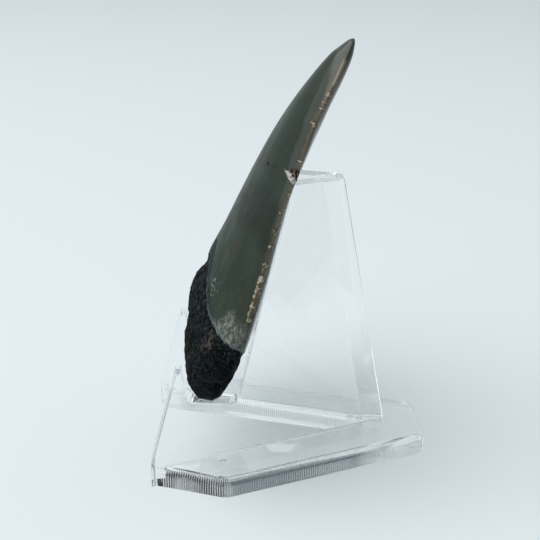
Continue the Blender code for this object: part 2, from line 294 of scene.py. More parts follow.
def foot_fillet(side):
    """The small hollow fillet where a wall's outer face meets the foot plate."""
    sunk = FILLET_RADIUS / 2.0
    profile = [(-sunk, FOOT_THICKNESS - sunk)]
    for step in range(FILLET_STEPS + 1):
        turn = pi / 2.0 * step / FILLET_STEPS
        profile.append((FILLET_RADIUS * (1.0 - sin(turn)) - FILLET_SINK,
                        FOOT_THICKNESS + FILLET_RADIUS * (1.0 - cos(turn)) - FILLET_SINK))
    ends = (FRONT_Y + FOOT_SETBACK + FILLET_RADIUS, APEX_Y - 2.0 * FILLET_RADIUS)
    return prism("foot_fillet", [[(side * (wall_x(y, z, 0.0) + out), y, z) for out, z in profile]
                                 for y in ends])


for side in (1.0, -1.0):
    combined(stand, foot_fillet(side), "UNION")
combined(stand, foot_plate(), "UNION")
table = prism("below_table", [[(x, y, z) for x, y in ((-1, -1), (1, -1), (1, 1), (-1, 1))]
                              for z in (-1.0, 0.0)])
combined(stand, table, "DIFFERENCE")
gate = [(GATE_RADIUS, FOOT_THICKNESS - GATE_HEIGHT)]
gate += [(GATE_RADIUS * t, FOOT_THICKNESS + GATE_HEIGHT * (1.0 - t * t)) for t in GATE_RINGS]
combined(stand, turned("gate", GATE_PLACE, gate, GATE_STEPS), "UNION")

stand.data.shade_smooth()
stand.data.set_sharp_from_angle(angle=FOLD)
even = stand.modifiers.new("even_shading", "WEIGHTED_NORMAL")
even.keep_sharp = True
baked(stand)

# The foot plate's painted rib shade and the stand's plastic
# The ribs are painted grey as shade, most of all in their valleys and near the front corner. The plastic
# is a clear, very slightly blue-green acrylic, and light passes straight through it on its way to the
# floor.
RIB_SHADE_BEGIN = (-0.0325, -0.0280)
RIB_SHADE_END = (0.014, 0.032)
RIB_SHADE_ALONG_SIDE = (FOOT_CORNER_Y - 0.001, FOOT_CORNER_Y + 0.003)
RIB_SHADE_PAST_CORNER = (FOOT_CORNER_Y + 0.006, FOOT_CORNER_Y + 0.020)
RIB_SHADE_INTO_VALLEY = (0.20, 0.80)
RIB_SHADE_FAR_SIDE = 0.3
# painted shade on the ribs at the front, and what the side and the corner add
RIB_SHADE_ON_RIBS = (0.22, 0.34, 0.20)
# painted shade that the valleys add at the front, and on the side
RIB_SHADE_IN_VALLEYS = (0.28, 0.17)
UPRIGHT_NORMAL = 0.5

edge_corners = foot_corners()
# painted shade: a grey amount for each upright face of the ribs, deepest in the valleys and near the front
# corner
painted_rib_shade = []
for face in stand.data.polygons:
    x, y, z = face.center
    upright = abs(face.normal.z) < UPRIGHT_NORMAL and z < FOOT_THICKNESS
    upright = upright and face.area < RIB_PITCH * FOOT_THICKNESS
    reach = smooth(*RIB_SHADE_BEGIN, y) * (1.0 - smooth(*RIB_SHADE_END, y)) * (1.0 if x > 0.0 else RIB_SHADE_FAR_SIDE)
    valley = min(inside_line(edge_corners[0], edge_corners[1], (abs(x), y)),
                 inside_line(edge_corners[1], edge_corners[2], (abs(x), y))) / RIB_DEPTH
    along_side = smooth(*RIB_SHADE_ALONG_SIDE, y)
    near_corner = along_side * (1.0 - smooth(*RIB_SHADE_PAST_CORNER, y))
    grey = RIB_SHADE_ON_RIBS[0] + RIB_SHADE_ON_RIBS[1] * along_side + RIB_SHADE_ON_RIBS[2] * near_corner
    grey += (RIB_SHADE_IN_VALLEYS[0] + RIB_SHADE_IN_VALLEYS[1] * along_side) * smooth(*RIB_SHADE_INTO_VALLEY, valley)
    painted_rib_shade.append(min(reach * grey, 1.0) if upright else 0.0)
# the painted rib shade is kept on the faces as the ribbed attribute
held = stand.data.attributes.new("ribbed", "FLOAT", "FACE")
held.data.foreach_set("value", painted_rib_shade)

clear_plastic = bpy.data.materials.new("clear_plastic")
clear_plastic.use_nodes = True
plastic_nodes, plastic_links = clear_plastic.node_tree.nodes, clear_plastic.node_tree.links
plastic = plastic_nodes["Principled BSDF"]
# the painted rib shade darkens the plastic's clear colour
ribs = plastic_nodes.new("ShaderNodeAttribute")
ribs.attribute_name = "ribbed"
plastic_colour_and_rib_shade = plastic_nodes.new("ShaderNodeMix")
plastic_colour_and_rib_shade.data_type = "RGBA"
plastic_colour_and_rib_shade.inputs[6].default_value = (0.995, 1.0, 1.0, 1.0)
plastic_colour_and_rib_shade.inputs[7].default_value = (0.055, 0.075, 0.090, 1.0)
plastic_links.new(ribs.outputs["Fac"], plastic_colour_and_rib_shade.inputs["Factor"])
plastic_links.new(plastic_colour_and_rib_shade.outputs[2], plastic.inputs["Base Color"])
plastic.inputs["Metallic"].default_value = 0.0
plastic.inputs["Roughness"].default_value = 0.02
plastic.inputs["IOR"].default_value = 1.49
plastic.inputs["Transmission Weight"].default_value = 1.0
absorbed = plastic_nodes.new("ShaderNodeVolumeAbsorption")
absorbed.inputs["Color"].default_value = (0.80, 0.90, 0.93, 1.0)
absorbed.inputs["Density"].default_value = 3.0
plastic_links.new(absorbed.outputs["Volume"], plastic_nodes["Material Output"].inputs["Volume"])
# Light that only brightens what lies behind goes straight through, so the shadow stays pale
ray = plastic_nodes.new("ShaderNodeLightPath")
passing = plastic_nodes.new("ShaderNodeMath")
passing.operation = "MAXIMUM"
straight = plastic_nodes.new("ShaderNodeBsdfTransparent")
straight.inputs["Color"].default_value = (0.99, 0.995, 1.0, 1.0)
either = plastic_nodes.new("ShaderNodeMixShader")
plastic_links.new(ray.outputs["Is Shadow Ray"], passing.inputs[0])
plastic_links.new(ray.outputs["Is Diffuse Ray"], passing.inputs[1])
plastic_links.new(passing.outputs[0], either.inputs[0])
plastic_links.new(plastic.outputs["BSDF"], either.inputs[1])
plastic_links.new(straight.outputs["BSDF"], either.inputs[2])
plastic_links.new(either.outputs["Shader"], plastic_nodes["Material Output"].inputs["Surface"])
stand.data.materials.clear()
stand.data.materials.append(clear_plastic)
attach(stand, "root")
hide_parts("display_stand")

# The tooth's shape
# Grown in one piece and turned to stone: a triangular crown of enamel with serrated cutting edges, on
# a thick two-lobed root. Its inner face bulges, its outer face is nearly flat.
TOOTH_LENGTH = 0.0891
TOOTH_HALF_WIDTH = 0.0340
TOOTH_LEAN = radians(19.5)
TOOTH_LOW_POINT = Vector((0.0, -0.0178, 0.0197))
ROWS = 400
AROUND = 228
BASE_ARCH = 0.0115
BASE_SIDE = 0.0085
LOBE_LOW = -0.0015
LOBE_PLACE = 0.56
BOW_TOP = 0.38
BASE_ROUNDING = 0.0062
INNER_BASE_ROUNDING = 0.0105
BASE_ROUNDING_CENTRE = 0.72
BASE_KEEL = 0.03
BASE_NARROWING = 0.12
ROOT_TOP = 0.18
CROWN_START = 0.30
ROUND_SIDE = 0.5
OUTER_SIDE = 0.9
INNER_SIDE = 0.86
OUTER_FLATNESS = 2.0
ROOT_LINE_MIDDLE = 0.0280
ROOT_LINE_SIDE = 0.0203
ROOT_LINE_OUTER = 0.0160
ROOT_LINE_SPREAD = 0.36
ENAMEL_STEP = 0.0004
TIP_ROUNDING = 0.0008
TIP_BLUNTNESS = 0.02
TIP_ROWS = 9
LEDGE_WIDTH = 0.0007
# height along the tooth, and the share of the half width or the place from front to back there
WIDTH_PROFILE = (
    (0.000, 0.90), (0.006, 0.975), (0.012, 1.00), (0.018, 0.99), (0.025, 0.945), (0.035, 0.84),
    (0.048, 0.665), (0.060, 0.495), (0.072, 0.320), (0.081, 0.180), (0.086, 0.095), (0.0891, 0.018),
)
OUTER_PROFILE = (
    (0.000, 0.0008), (0.006, 0.0011), (0.012, 0.0017), (0.018, 0.0022), (0.026, 0.0021), (0.036, 0.0013),
    (0.046, 0.0004), (0.0535, 0.0001), (0.060, 0.0008), (0.070, 0.0021), (0.080, 0.0035),
    (0.085, 0.0039), (0.0891, 0.0033),
)
INNER_PROFILE = (
    (0.000, -0.0109), (0.008, -0.0127), (0.013, -0.0134), (0.018, -0.0132), (0.0225, -0.0121),
    (0.028, -0.0120), (0.036, -0.0108), (0.045, -0.0098), (0.055, -0.0086), (0.065, -0.0069),
    (0.075, -0.0043), (0.084, -0.0010), (0.088, 0.0015), (0.0891, 0.0024),
)
EDGE_PROFILE = (
    (0.000, -0.0042), (0.012, -0.0024), (0.024, -0.0017), (0.040, -0.0018), (0.050, -0.0018),
    (0.060, -0.0010), (0.070, -0.0003), (0.080, 0.0014), (0.0891, 0.0028),
)


def along(profile, height):
    """The smooth curve through a profile's points, read at a height."""
    count = len(profile)
    height = min(max(height, profile[0][0]), profile[-1][0])
    index = 0
    while index < count - 2 and height > profile[index + 1][0]:
        index += 1
    (h0, v0), (h1, v1) = profile[index], profile[index + 1]

    def slope(i):
        low, high = max(i - 1, 0), min(i + 1, count - 1)
        return (profile[high][1] - profile[low][1]) / (profile[high][0] - profile[low][0])

    span = h1 - h0
    t = (height - h0) / span
    return ((2 * t ** 3 - 3 * t ** 2 + 1) * v0 + (t ** 3 - 2 * t ** 2 + t) * span * slope(index)
            + (3 * t ** 2 - 2 * t ** 3) * v1 + (t ** 3 - t ** 2) * span * slope(index + 1))


def root_line(across, outer):
    """Height of the enamel's lower edge, at a place across the tooth from -1 to 1."""
    if outer:
        return ROOT_LINE_OUTER + (ROOT_LINE_SIDE - ROOT_LINE_OUTER) * across ** 4
    drop = 1.0 - exp(-(across / ROOT_LINE_SPREAD) ** 2)
    return ROOT_LINE_MIDDLE - (ROOT_LINE_MIDDLE - ROOT_LINE_SIDE) * drop


def base_height(across):
    """Height of the root's underside: an arch between the two lobes, and a rise outside them."""
    away = abs(across)
    if away < LOBE_PLACE:
        return LOBE_LOW + (BASE_ARCH - LOBE_LOW) * (1.0 + cos(pi * away / LOBE_PLACE)) / 2.0
    return LOBE_LOW + (BASE_SIDE - LOBE_LOW) * ((away - LOBE_PLACE) / (1.0 - LOBE_PLACE)) ** 2


# The tooth's damage
# The enamel along the cutting edges is worn and chipped, with one deep flake lost from the right
# edge, and the serrations survive between the chips. A pinhole and a short crack mark the inner face.
SERRATION_PITCH = 0.00072
SERRATION_DEPTH = 0.00016
SERRATION_START = 0.002
SERRATION_SHARPNESS = 1.5
WEAR_LENGTH = 0.006
# height, half length and depth into the edge of the small chips in the right edge, and in the left
RIGHT_CHIPS = (
    (0.0763, 0.0006, 0.0003), (0.0745, 0.0003, 0.0002), (0.0731, 0.0003, 0.0002), (0.0696, 0.0006, 0.0004),
    (0.0613, 0.0003, 0.0002), (0.0543, 0.0004, 0.0002), (0.0500, 0.0003, 0.0002), (0.0461, 0.0006, 0.0004),
    (0.0428, 0.0003, 0.0002), (0.0391, 0.0005, 0.0003), (0.0363, 0.0009, 0.0003), (0.0338, 0.0006, 0.0003),
    (0.0303, 0.0004, 0.0002),
)
LEFT_CHIPS = (
    (0.0815, 0.0006, 0.0003), (0.0722, 0.0010, 0.0004), (0.0618, 0.0005, 0.0002), (0.0514, 0.0007, 0.0004),
    (0.0447, 0.0012, 0.0006), (0.0371, 0.0005, 0.0003), (0.0305, 0.0008, 0.0004), (0.0252, 0.0006, 0.0003),
)
CHIP_REACH = 0.0009
CHIP_LUMP = 0.0005
CHIP_SEED = 900.0
CHIP_FADE = (0.6, 1.1)
# the lost flake, a three-cornered scar in the inner face: height and distance from the right edge
FLAKE = ((0.0600, -0.0010), (0.0554, -0.0010), (0.0582, 0.0036))
FLAKE_DEPTH = 0.0007
FLAKE_NOTCH = 0.0011
FLAKE_MARGIN = 0.001
FLAKE_RIM = 0.0003
FLAKE_SLOPE = 0.0010
FLAKE_PALE = (0.0003, 0.0012)
FLAKE_RAGGED = 0.00035
FLAKE_LUMP = 0.0009
PINHOLE = (0.0085, 0.0570)
EDGE_HOLE = (0.0316, 0.0276)
# x, height, half width, half height and depth of the two holes, and of the pores in the root's middle
PITS = (
    (*PINHOLE, 0.0008, 0.0004, 0.0005), (*EDGE_HOLE, 0.0004, 0.0004, 0.0004),
    (0.0, 0.0150, 0.0010, 0.0013, 0.0010), (-0.0062, 0.0128, 0.0005, 0.0007, 0.0005),
    (0.0048, 0.0108, 0.0005, 0.0005, 0.0004), (-0.0135, 0.0165, 0.0005, 0.0005, 0.0004),
    (0.0157, 0.0142, 0.0005, 0.0004, 0.0004), (0.0021, 0.0186, 0.0004, 0.0005, 0.0004),
)
PIT_FADE = (0.5, 1.0)
# height and size of the lumps where the enamel ends, and on the root, and of the enamel's ripple
END_LUMPS = ((0.0005, 0.0022), (0.0003, 0.0007))
ROOT_LUMPS = ((0.0004, 0.0075), (0.00034, 0.0032), (0.00026, 0.0014), (0.00010, 0.0006))
RIPPLE_HEIGHT = 0.00006
RIPPLE_WIDTH = 0.0028
RIPPLE_LENGTH = 0.016


def inside_sides(corners, height, from_edge):
    """How far a place is inside each side of a three-cornered scar."""
    sides = []
    for (h0, d0), (h1, d1) in zip(corners, corners[1:] + corners[:1]):
        length = hypot(h1 - h0, d1 - d0)
        sides.append(((height - h0) * (d1 - d0) - (from_edge - d0) * (h1 - h0)) / length)
    return sides


def tooth_place(rise, angle):
    """A place on the tooth's skin, with what is known of it: how far it is above the enamel's end and
    from the cutting edge, and how much it is in a chip, in the lost flake and on its pale side."""
    across = cos(angle)
    outer = sin(angle) >= 0.0
    height = rise * TOOTH_LENGTH + base_height(across) * (1.0 - smooth(0.0, BOW_TOP, rise))
    level = min(max(height, 0.0), TOOTH_LENGTH)
    crown = smooth(ROOT_TOP, CROWN_START, rise)
    if outer:
        swell = 1.0 - abs(across) ** (2.0 + OUTER_FLATNESS * crown)
        swell = swell ** (ROUND_SIDE + (OUTER_SIDE - ROUND_SIDE) * crown)
    else:
        swell = (1.0 - across ** 2) ** (ROUND_SIDE + (INNER_SIDE - ROUND_SIDE) * crown)
    edge = along(EDGE_PROFILE, level)
    outer_face = along(OUTER_PROFILE, level)
    inner_face = along(INNER_PROFILE, level)
    depth = edge + ((outer_face if outer else inner_face) - edge) * swell
    rounding = BASE_ROUNDING if outer else BASE_ROUNDING + (INNER_BASE_ROUNDING - BASE_ROUNDING) * swell
    low = min(rise * TOOTH_LENGTH / rounding, 1.0)
    fill = BASE_KEEL + (1.0 - BASE_KEEL) * sqrt(max(1.0 - (1.0 - low) ** 2, 0.0))
    centre = inner_face + (outer_face - inner_face) * BASE_ROUNDING_CENTRE
    depth = centre + (depth - centre) * fill
    half_width = TOOTH_HALF_WIDTH * along(WIDTH_PROFILE, rise * TOOTH_LENGTH)
    half_width *= 1.0 - BASE_NARROWING * (1.0 - fill)
    into_tip = max(1.0 - (TOOTH_LENGTH - height) / TIP_ROUNDING, 0.0)
    tip = sqrt(max(1.0 - into_tip ** 2, TIP_BLUNTNESS))
    half_width *= tip
    depth = (inner_face + outer_face) / 2.0 + (depth - (inner_face + outer_face) / 2.0) * tip
    from_edge = half_width * (1.0 - abs(across))
    above_root = height - root_line(across, outer)
    rim = 1.0 - smooth(0.0, SERRATION_PITCH, from_edge)
    wear = 0.5 + 0.5 * noise.noise((3.0 if across > 0 else 9.0, 0.0, height / WEAR_LENGTH))
    serration = (1.0 - abs(sin(pi * height / SERRATION_PITCH))) ** SERRATION_SHARPNESS
    bite = SERRATION_DEPTH * serration * wear * rim * smooth(0.0, SERRATION_START, above_root)
    chipped = 0.0
    for place, length, deep in RIGHT_CHIPS if across > 0.0 else LEFT_CHIPS:
        if abs(height - place) < 2.0 * length:
            ragged = 0.5 * noise.noise((place * CHIP_SEED, height / CHIP_LUMP, from_edge / CHIP_LUMP))
            away = hypot((height - place) / length, from_edge / CHIP_REACH) + ragged
            chip = 1.0 - smooth(*CHIP_FADE, away)
            bite += deep * chip * (1.0 - smooth(0.0, CHIP_REACH, from_edge))
            chipped = max(chipped, chip)
    flaked = pale = 0.0
    if across > 0.0 and FLAKE[1][0] - FLAKE_MARGIN < height < FLAKE[0][0] + FLAKE_MARGIN:
        ragged = FLAKE_RAGGED * noise.noise((height / FLAKE_LUMP, from_edge / FLAKE_LUMP, 4.0))
        within = [side + ragged for side in inside_sides(FLAKE, height, from_edge)]
        flaked = smooth(0.0, FLAKE_RIM, min(within))
        pale = flaked * (1.0 - smooth(*FLAKE_PALE, within[1]))
        bite += FLAKE_NOTCH * flaked * (1.0 - smooth(0.0, FLAKE_SLOPE, from_edge))
        if not outer:
            depth += FLAKE_DEPTH * smooth(0.0, FLAKE_SLOPE, min(within))
    x = max(half_width - bite, 0.0) * across
    if not outer:
        for pit_x, pit_z, half_x, half_z, deep in PITS:
            away = hypot((x - pit_x) / half_x, (height - pit_z) / half_z)
            depth += deep * (1.0 - smooth(*PIT_FADE, away))
    return Vector((x, depth, height)), above_root, from_edge, chipped, flaked, pale


def lumps(sizes, place):
    """The sum of soft noise of several heights and sizes, at a place."""
    return sum(height * noise.noise(place / size) for height, size in sizes)


def roughened(place, away, above_root):
    """Moves a place on the root in by the enamel's step and in or out by its lumps, and lets the
    enamel ripple very slightly."""
    below = 1.0 - smooth(0.0, LEDGE_WIDTH, above_root + lumps(END_LUMPS, place))
    shift = lumps(ROOT_LUMPS, place) - ENAMEL_STEP
    ripple = (place.x / RIPPLE_WIDTH, place.y / RIPPLE_WIDTH, place.z / RIPPLE_LENGTH)
    ripple = RIPPLE_HEIGHT * noise.noise(ripple)
    return place + away * (shift * below + ripple * (1.0 - below))


shape = bmesh.new()
facts = []
rings = []
tip_start = 1.0 - TIP_ROUNDING / TOOTH_LENGTH
rises = [tip_start * row / ROWS for row in range(ROWS + 1)]
rises += [tip_start + (1.0 - tip_start) * sin(pi / 2.0 * (row + 1) / TIP_ROWS) for row in range(TIP_ROWS)]
for rise in rises:
    ring = []
    for step in range(AROUND):
        place, *fact = tooth_place(rise, 2.0 * pi * step / AROUND)
        ring.append(shape.verts.new(place))
        facts.append(fact)
    rings.append(ring)
for low, high in zip(rings, rings[1:]):
    for step in range(AROUND):
        other = (step + 1) % AROUND
        shape.faces.new((low[step], low[other], high[other], high[step]))
for ring in (rings[0], rings[-1]):
    for step in range(AROUND // 2):
        strip = (ring[step], ring[step + 1], ring[AROUND - step - 1], ring[(AROUND - step) % AROUND])
        shape.faces.new(tuple(dict.fromkeys(strip)))
bmesh.ops.recalc_face_normals(shape, faces=shape.faces)
shape.normal_update()
grown = [vert.co.copy() for vert in shape.verts]
moved = [roughened(vert.co, vert.normal, fact[0]) for vert, fact in zip(shape.verts, facts)]
for vert, place in zip(shape.verts, moved):
    vert.co = place
tooth_mesh = bpy.data.meshes.new("whole_tooth")
shape.to_mesh(tooth_mesh)
shape.free()
tooth_mesh.shade_smooth()
for index, name in enumerate(("above_root", "from_edge", "chipped", "flaked", "flake_pale")):
    held = tooth_mesh.attributes.new(name, "FLOAT", "POINT")
    held.data.foreach_set("value", [fact[index] for fact in facts])
held = tooth_mesh.attributes.new("grown_place", "FLOAT_VECTOR", "POINT")
held.data.foreach_set("vector", [value for place in grown for value in place])
tooth_mesh.transform(Matrix.Translation(TOOTH_LOW_POINT) @ Matrix.Rotation(-TOOTH_LEAN, 4, "X"))
tooth = bpy.data.objects.new("whole_tooth", tooth_mesh)
bpy.context.scene.collection.objects.link(tooth)

# The tooth's colours
# The enamel turned grey-green, with brown patches and pale scratches at its foot, worn brown along the
# cutting edges and beige in the chips. The root turned black and is grainy, with fine pale specks and
# painted glints of light on its grains.
GREEN_DARK = (0.018, 0.029, 0.020)
GREEN_PALE = (0.028, 0.042, 0.030)
PATCH_BROWN = (0.033, 0.034, 0.021)
SPOT_GREEN = (0.012, 0.020, 0.016)
STREAK_GREY = (0.30, 0.34, 0.34)
FOOT_GREY = (0.28, 0.30, 0.27)
MIDDLE_GREEN = (0.009, 0.017, 0.012)
TIP_GREEN = (0.085, 0.090, 0.070)
BAND_DARK = (0.010, 0.014, 0.015)
BAND_PALE = (0.045, 0.056, 0.060)
RIM_GREY = (0.15, 0.20, 0.22)
EDGE_BROWN = (0.080, 0.055, 0.028)
CHIP_BROWN = (0.10, 0.075, 0.042)
CHIP_BEIGE = (0.40, 0.36, 0.28)
TIP_TAN = (0.26, 0.23, 0.16)
FLAKE_BLACK = (0.008, 0.008, 0.008)
FLAKE_BROWN = (0.20, 0.16, 0.13)
FLAKE_WHITE = (0.50, 0.48, 0.45)
CRACK_BLACK = (0.005, 0.006, 0.006)
HOLE_BEIGE = (0.36, 0.32, 0.24)
HOLE_BLACK = (0.003, 0.003, 0.003)
ROOT_BLACK = (0.0010, 0.0022, 0.0026)
ROOT_GREY = (0.0036, 0.0062, 0.0070)
SPECK_GREY = (0.034, 0.045, 0.047)
GLINT_GREY = (0.12, 0.14, 0.14)
ROOT_PINK = (0.105, 0.085, 0.075)
SCRATCH_TURN = radians(42.0)
# middles of the patches, and the crack's two ends: x, nothing, height
FOOT_PATCH = (0.0290, 0.0, 0.0205)
FLECK_PATCH = (0.0140, 0.0, 0.0262)
PINK_PATCH = (0.0270, 0.0, 0.0175)
EDGE_HOLE_RIM = (0.0314, 0.0, 0.0274)
CRACK_START = (0.0072, 0.0, 0.0559)
CRACK_END = (0.0122, 0.0, 0.0576)
CRACK_WIDTH = 0.00028
CRACK_WANDER = 0.0012
CRACK_FADE = (0.0002, 0.0005)

fossil = bpy.data.materials.new("fossil")
fossil.use_nodes = True
nodes, links = fossil.node_tree.nodes, fossil.node_tree.links
shader = nodes["Principled BSDF"]


def feed(socket, value):
    """Links an output to a socket, or sets the socket's value."""
    if isinstance(value, bpy.types.NodeSocket):
        links.new(value, socket)
    elif value is not None:
        socket.default_value = value


def attribute(name, output="Fac"):
    """What the mesh knows of each place."""
    node = nodes.new("ShaderNodeAttribute")
    node.attribute_name = name
    return node.outputs[output]


def grain(vector, scale, detail=2.0, roughness=0.5, stretch=(1.0, 1.0, 1.0), seed=0.0, turn=0.0):
    """Cloudy noise, which may be stretched and turned."""
    mapping = nodes.new("ShaderNodeMapping")
    mapping.inputs["Scale"].default_value = stretch
    mapping.inputs["Rotation"].default_value = (turn, 0.0, 0.0)
    mapping.inputs["Location"].default_value = (seed, seed, seed)
    links.new(vector, mapping.inputs["Vector"])
    node = nodes.new("ShaderNodeTexNoise")
    node.inputs["Scale"].default_value = scale
    node.inputs["Detail"].default_value = detail
    node.inputs["Roughness"].default_value = roughness
    links.new(mapping.outputs["Vector"], node.inputs["Vector"])
    return node.outputs["Fac"]


def cells(vector, scale, stretch):
    """The distance from the nearest of many grains."""
    mapping = nodes.new("ShaderNodeMapping")
    mapping.inputs["Scale"].default_value = stretch
    links.new(vector, mapping.inputs["Vector"])
    node = nodes.new("ShaderNodeTexVoronoi")
    node.inputs["Scale"].default_value = scale
    links.new(mapping.outputs["Vector"], node.inputs["Vector"])
    return node.outputs["Distance"]


def ramp(value, low, high, start=0.0, end=1.0):
    """An even S from start at low to end at high."""
    node = nodes.new("ShaderNodeMapRange")
    node.interpolation_type = "SMOOTHSTEP"
    feed(node.inputs["Value"], value)
    node.inputs["From Min"].default_value = low
    node.inputs["From Max"].default_value = high
    node.inputs["To Min"].default_value = start
    node.inputs["To Max"].default_value = end
    return node.outputs["Result"]


def sum_of(operation, first, second=None, clamp=False):
    """One sum on one or two values."""
    node = nodes.new("ShaderNodeMath")
    node.operation = operation
    node.use_clamp = clamp
    feed(node.inputs[0], first)
    feed(node.inputs[1], second)
    return node.outputs[0]


def blend(amount, first, second):
    """The first colour where the amount is 0, the second where it is 1."""
    node = nodes.new("ShaderNodeMix")
    node.data_type = "RGBA"
    feed(node.inputs["Factor"], amount)
    for socket, value in ((node.inputs[6], first), (node.inputs[7], second)):
        feed(socket, value if isinstance(value, bpy.types.NodeSocket) else (*value, 1.0))
    return node.outputs[2]


def near(vector, middle, reach, full, ragged=None):
    """1 within the full distance of a middle on either face, 0 beyond its reach. The limit may be
    ragged."""
    flat = nodes.new("ShaderNodeVectorMath")
    flat.operation = "MULTIPLY"
    links.new(vector, flat.inputs[0])
    flat.inputs[1].default_value = (1.0, 0.0, 1.0)
    gap = nodes.new("ShaderNodeVectorMath")
    gap.operation = "DISTANCE"
    links.new(flat.outputs["Vector"], gap.inputs[0])
    gap.inputs[1].default_value = middle
    distance = gap.outputs["Value"]
    if ragged:
        wander = grain(vector, 330.0, 3.0, 0.6, stretch=(0.6, 1.0, 1.0), seed=17.0)
        wander = sum_of("SUBTRACT", wander, 0.5)
        distance = sum_of("ADD", distance, sum_of("MULTIPLY", wander, ragged))
    return ramp(distance, reach, full)


def cut_line(vector, start, end, width):
    """1 along a ragged line between two places on a face."""
    run = Vector(end) - Vector(start)
    offset = nodes.new("ShaderNodeVectorMath")
    offset.operation = "SUBTRACT"
    links.new(vector, offset.inputs[0])
    offset.inputs[1].default_value = start
    sides = []
    for direction in (run.normalized(), Vector((-run.z, 0.0, run.x)).normalized()):
        part = nodes.new("ShaderNodeVectorMath")
        part.operation = "DOT_PRODUCT"
        links.new(offset.outputs["Vector"], part.inputs[0])
        part.inputs[1].default_value = direction
        sides.append(part.outputs["Value"])
    wander = sum_of("SUBTRACT", grain(vector, 700.0, 2.0, seed=4.0), 0.5)
    away = sum_of("ABSOLUTE", sum_of("ADD", sides[1], sum_of("MULTIPLY", wander, CRACK_WANDER)))
    inside = sum_of("MULTIPLY", ramp(sides[0], -CRACK_FADE[0], CRACK_FADE[1]),
                    ramp(sides[0], run.length + CRACK_FADE[0], run.length - CRACK_FADE[1]))
    return sum_of("MULTIPLY", ramp(away, width, width * 0.3), inside)


where = attribute("grown_place", "Vector")
above_root = attribute("above_root")
from_edge = attribute("from_edge")
chipped = attribute("chipped")

# Where the enamel is: its lower edge is ragged
ragged = sum_of("ADD", sum_of("MULTIPLY", sum_of("SUBTRACT", grain(where, 450.0, 1.0), 0.5), 0.0010),
                sum_of("MULTIPLY", sum_of("SUBTRACT", grain(where, 1500.0, 1.0), 0.5), 0.0006))
enamel = ramp(sum_of("ADD", above_root, ragged), 0.0001, 0.0006)

# Enamel colours
patches = ramp(grain(where, 70.0, 2.0), 0.35, 0.68)
green = blend(patches, GREEN_DARK, GREEN_PALE)
brown_patches = ramp(grain(where, 95.0, 3.0, seed=7.0, stretch=(1.0, 1.0, 0.6)), 0.52, 0.72)
colour = blend(sum_of("MULTIPLY", brown_patches, 0.6), green, PATCH_BROWN)
spots = ramp(grain(where, 520.0, 3.0, 0.6, stretch=(0.6, 1.0, 1.0)), 0.55, 0.75)
colour = blend(sum_of("MULTIPLY", spots, 0.45), colour, SPOT_GREEN)
streaks = ramp(grain(where, 1400.0, 2.0, stretch=(1.0, 1.0, 0.03)), 0.56, 0.74)
streak_zone = ramp(above_root, 0.018, 0.004, 0.03, 0.09)
colour = blend(sum_of("MULTIPLY", streaks, streak_zone), colour, STREAK_GREY)
mottle = ramp(grain(where, 1500.0, 3.0, 0.7, stretch=(0.5, 1.0, 1.0), seed=3.0), 0.40, 0.64, 0.12, 0.75)
scratches = grain(where, 2200.0, 1.0, stretch=(0.3, 1.0, 0.10), seed=13.0, turn=SCRATCH_TURN)
scratches = ramp(scratches, 0.52, 0.66)
scratches = sum_of("MULTIPLY", scratches, ramp(grain(where, 500.0, 1.0, seed=14.0), 0.40, 0.60))
pale_grain = sum_of("MAXIMUM", mottle, scratches)
pale_foot = sum_of("MULTIPLY", pale_grain, near(where, FOOT_PATCH, 0.0072, 0.0030, 0.0100))
axes = nodes.new("ShaderNodeSeparateXYZ")
feed(axes.inputs["Vector"], where)
height = axes.outputs["Z"]
inner_face = ramp(axes.outputs["Y"], -0.0016, -0.0022)
flecks = ramp(grain(where, 1500.0, 2.0, stretch=(0.4, 1.0, 1.0), seed=6.0), 0.56, 0.64)
flecks = sum_of("MULTIPLY", flecks, near(where, FLECK_PATCH, 0.0044, 0.0008, 0.0060))
pale_foot = sum_of("MAXIMUM", pale_foot, sum_of("MULTIPLY", flecks, inner_face))
colour = blend(sum_of("MULTIPLY", pale_foot, 0.75), colour, FOOT_GREY)
# a darker zone across the middle of the crown
zone_wander = sum_of("MULTIPLY", sum_of("SUBTRACT", grain(where, 120.0, 2.0, seed=19.0), 0.5), 0.012)
zone_height = sum_of("ADD", height, zone_wander)
dark_zone = sum_of("MULTIPLY", ramp(zone_height, 0.0400, 0.0450), ramp(zone_height, 0.0545, 0.0490))
colour = blend(sum_of("MULTIPLY", dark_zone, 0.7), colour, MIDDLE_GREEN)
# the enamel is paler where it thins out towards the tip
colour = blend(ramp(height, 0.066, 0.090, 0.0, 0.20), colour, TIP_GREEN)
# the bourlette, a dull band along the enamel's lower edge, widest in the middle of the inner face
band_width = ramp(sum_of("ABSOLUTE", axes.outputs["X"]), 0.028, 0.002, 0.0004, 0.0046)
band = sum_of("SUBTRACT", sum_of("ADD", above_root, ragged), band_width)
band = sum_of("MULTIPLY", ramp(band, 0.0003, -0.0003), ramp(axes.outputs["Y"], -0.0015, -0.0030))
band_grain = ramp(grain(where, 1500.0, 2.0, stretch=(1.0, 1.0, 0.15), seed=15.0), 0.35, 0.70)
colour = blend(sum_of("MULTIPLY", band, 0.8), colour, blend(band_grain, BAND_DARK, BAND_PALE))
rim = sum_of("MULTIPLY", ramp(above_root, 0.0014, 0.0004), 0.4)
colour = blend(rim, colour, RIM_GREY)

